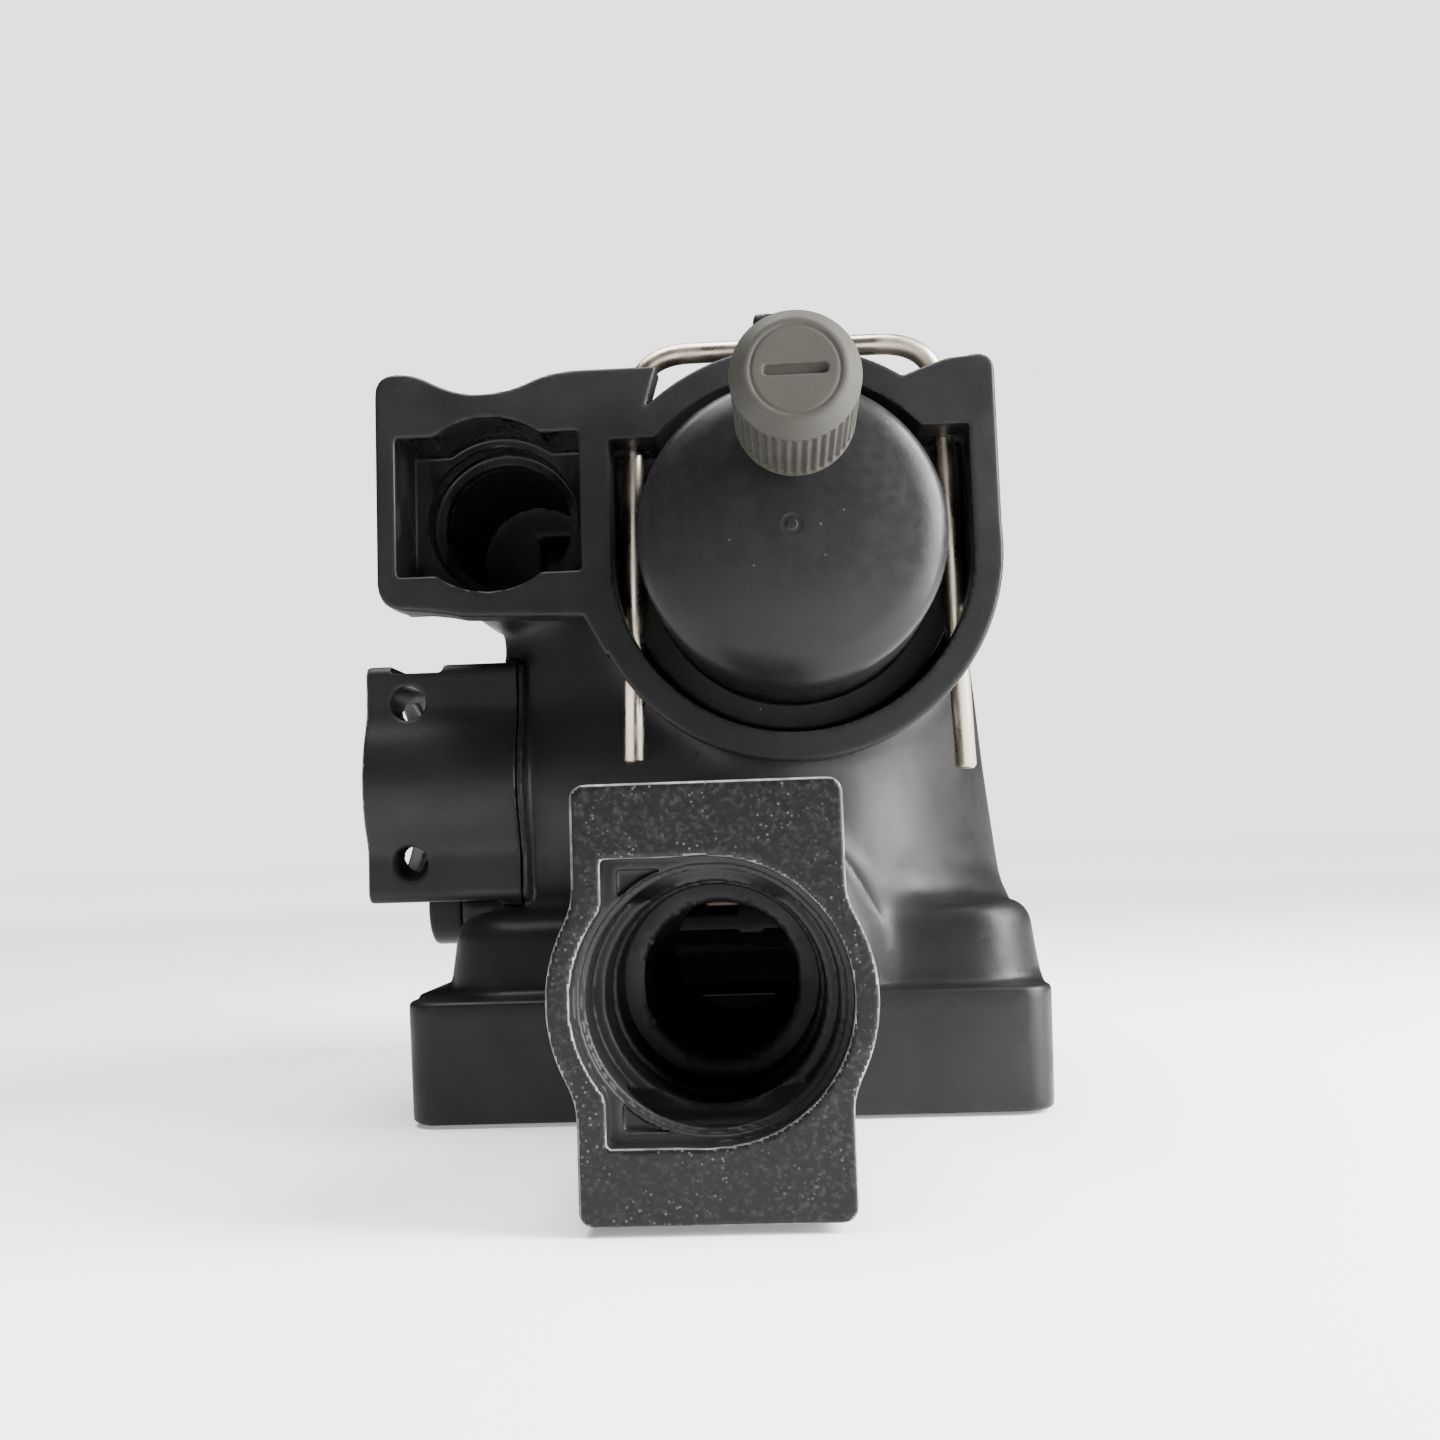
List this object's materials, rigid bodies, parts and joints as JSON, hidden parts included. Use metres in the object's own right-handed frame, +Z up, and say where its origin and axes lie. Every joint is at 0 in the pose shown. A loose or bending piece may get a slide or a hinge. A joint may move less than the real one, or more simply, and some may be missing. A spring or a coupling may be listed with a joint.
{
  "type": "diverter valve",
  "caption": "Moulded boiler diverter valve body on a square pump flange, with push-in sockets, a float air vent under a wire clip and a sprung diverter cartridge.",
  "frame": {"origin": "middle of the part's footprint box, on the plane that the square pump flange stands on", "axes": "+Z up from the pump flange, -Y the way the air vent and the large socket point, +X to their right; the side socket points to -X"},
  "size_m": [0.0996, 0.151, 0.1168],
  "materials": {
    "black_nylon": "moulded glass-filled polyamide, satin, fine speckle on cut faces",
    "vent_nylon": "satin moulded polyamide, slightly scuffed",
    "grey_nylon": "matt moulded polyamide, fine ribs",
    "grey_acetal": "satin moulded acetal",
    "rubber": "matt EPDM",
    "brass": "turned",
    "steel": "drawn stainless wire and sheet, warm grey",
    "float_plastic": "moulded polypropylene"
  },
  "bodies": {
    "valve": {"valve_body": "black_nylon", "gland_nut": "black_nylon", "vent_housing": "vent_nylon", "diverter_sleeve": "grey_acetal", "vent_lever_pin": "steel", "return_spring": "steel", "vent_nozzle": "brass", "flange_insert_1": "brass", "flange_insert_2": "brass", "flange_insert_3": "brass", "flange_insert_4": "brass", "vent_seal_ring": "rubber", "gland_seal": "rubber", "sleeve_seal_1": "rubber", "sleeve_seal_2": "rubber", "flange_seal": "rubber"},
    "clip": {"wire_clip": "steel"},
    "cap_seal": {"vent_cap_seal": "rubber"},
    "cap": {"vent_cap": "grey_nylon"},
    "float": {"vent_float": "float_plastic"},
    "lever": {"vent_lever": "steel"},
    "needle": {"vent_needle": "brass"},
    "stem": {"diverter_stem": "steel", "spring_seat": "brass", "heating_disc": "rubber", "hot_water_disc": "rubber", "stem_circlip": "steel"}
  },
  "joints": [
    {"name": "clip_pull", "type": "slide", "parent": "valve", "child": "clip", "axis": [0, 0, 1], "range_m": [0, 0.058]},
    {"name": "cap_lift", "type": "slide", "parent": "valve", "child": "cap_seal", "axis": [0, -1, 0], "range_m": [0, 0.0031]},
    {"name": "cap_turn", "type": "hinge", "parent": "cap_seal", "child": "cap", "pos_m": [0.01575, -0.057, 0.0906], "axis": [0, -1, 0], "range_deg": [0, 1080]},
    {"name": "float_drop", "type": "slide", "parent": "valve", "child": "float", "axis": [0, 1, 0], "range_m": [0, 0.0039]},
    {"name": "lever_swing", "type": "hinge", "parent": "valve", "child": "lever", "pos_m": [0.01575, -0.0325, 0.0943], "axis": [1, 0, 0], "range_deg": [0, 15]},
    {"name": "needle_open", "type": "slide", "parent": "valve", "child": "needle", "axis": [0, 1, 0], "range_m": [0, 0.001]},
    {"name": "stem_push", "type": "slide", "parent": "valve", "child": "stem", "axis": [1, 0, 0], "range_m": [0, 0.007], "stiffness_N_per_m": 600, "springref_m": -0.006, "deforming": ["return_spring"]}
  ],
  "couplings": [
    {"joint": "cap_lift", "follows": "cap_turn", "m_per_rad": 0.000159},
    {"joint": "lever_swing", "follows": "float_drop", "rad_per_m": 64.935},
    {"joint": "needle_open", "follows": "float_drop", "ratio": 0.24026}
  ]
}
